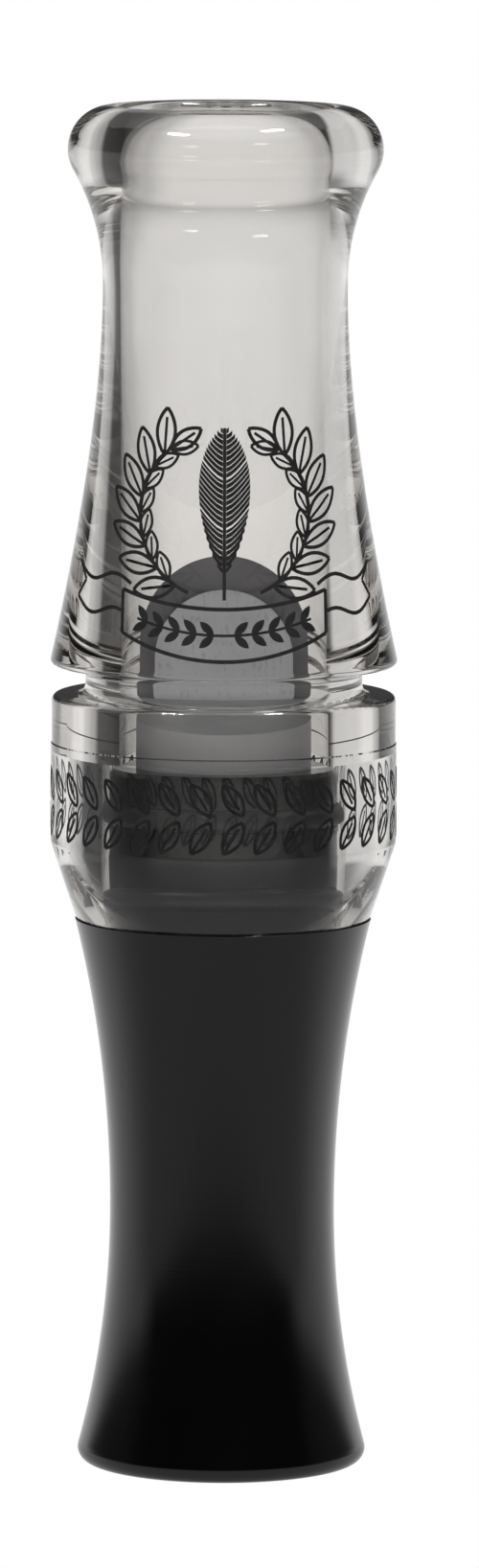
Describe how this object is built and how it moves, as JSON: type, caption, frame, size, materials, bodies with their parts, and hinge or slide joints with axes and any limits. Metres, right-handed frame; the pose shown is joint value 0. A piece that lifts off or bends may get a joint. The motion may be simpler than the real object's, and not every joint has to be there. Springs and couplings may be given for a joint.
{
  "type": "duck call",
  "caption": "Short-reed waterfowl call: clear barrel with lanyard groove over a black flared insert that holds a tone channel, reed and wedge, sealed by O-rings.",
  "frame": {"origin": "centre of the insert's flat bell end, which the call stands on", "axes": "+Z along the bore from the bell to the mouth; the reed and the front of the call face -Y"},
  "size_m": [0.0314, 0.0314, 0.1235],
  "materials": {
    "clear_acrylic": "polished clear acrylic with a faint smoke tint",
    "black_acrylic": "polished black acrylic",
    "seal_rubber": "greased black rubber",
    "guts_black": "moulded black plastic",
    "wedge_plastic": "milky grey moulded plastic",
    "reed_film": "thin translucent polyester film"
  },
  "bodies": {
    "insert": {"insert": "black_acrylic"},
    "seals": {"o_ring_upper": "seal_rubber", "o_ring_lower": "seal_rubber"},
    "barrel": {"barrel": "clear_acrylic"},
    "guts": {"tone_channel": "guts_black", "wedge": "wedge_plastic", "reed_butt": "reed_film"},
    "reed": {"reed": "reed_film"}
  },
  "joints": [
    {"name": "barrel_twist", "type": "hinge", "parent": "insert", "child": "seals", "pos_m": [0, 0, 0.05], "axis": [0, 0, 1], "continuous": true},
    {"name": "barrel_pull", "type": "slide", "parent": "seals", "child": "barrel", "axis": [0, 0, 1], "range_m": [0, 0.06]},
    {"name": "guts_pull", "type": "slide", "parent": "insert", "child": "guts", "axis": [0, 0, 1], "range_m": [0, 0.022]},
    {"name": "reed_flex", "type": "hinge", "parent": "guts", "child": "reed", "pos_m": [0, -0.0004, 0.0686], "axis": [-1, 0, 0], "range_deg": [-3, 2], "stiffness_Nm_per_rad": 0.02}
  ]
}
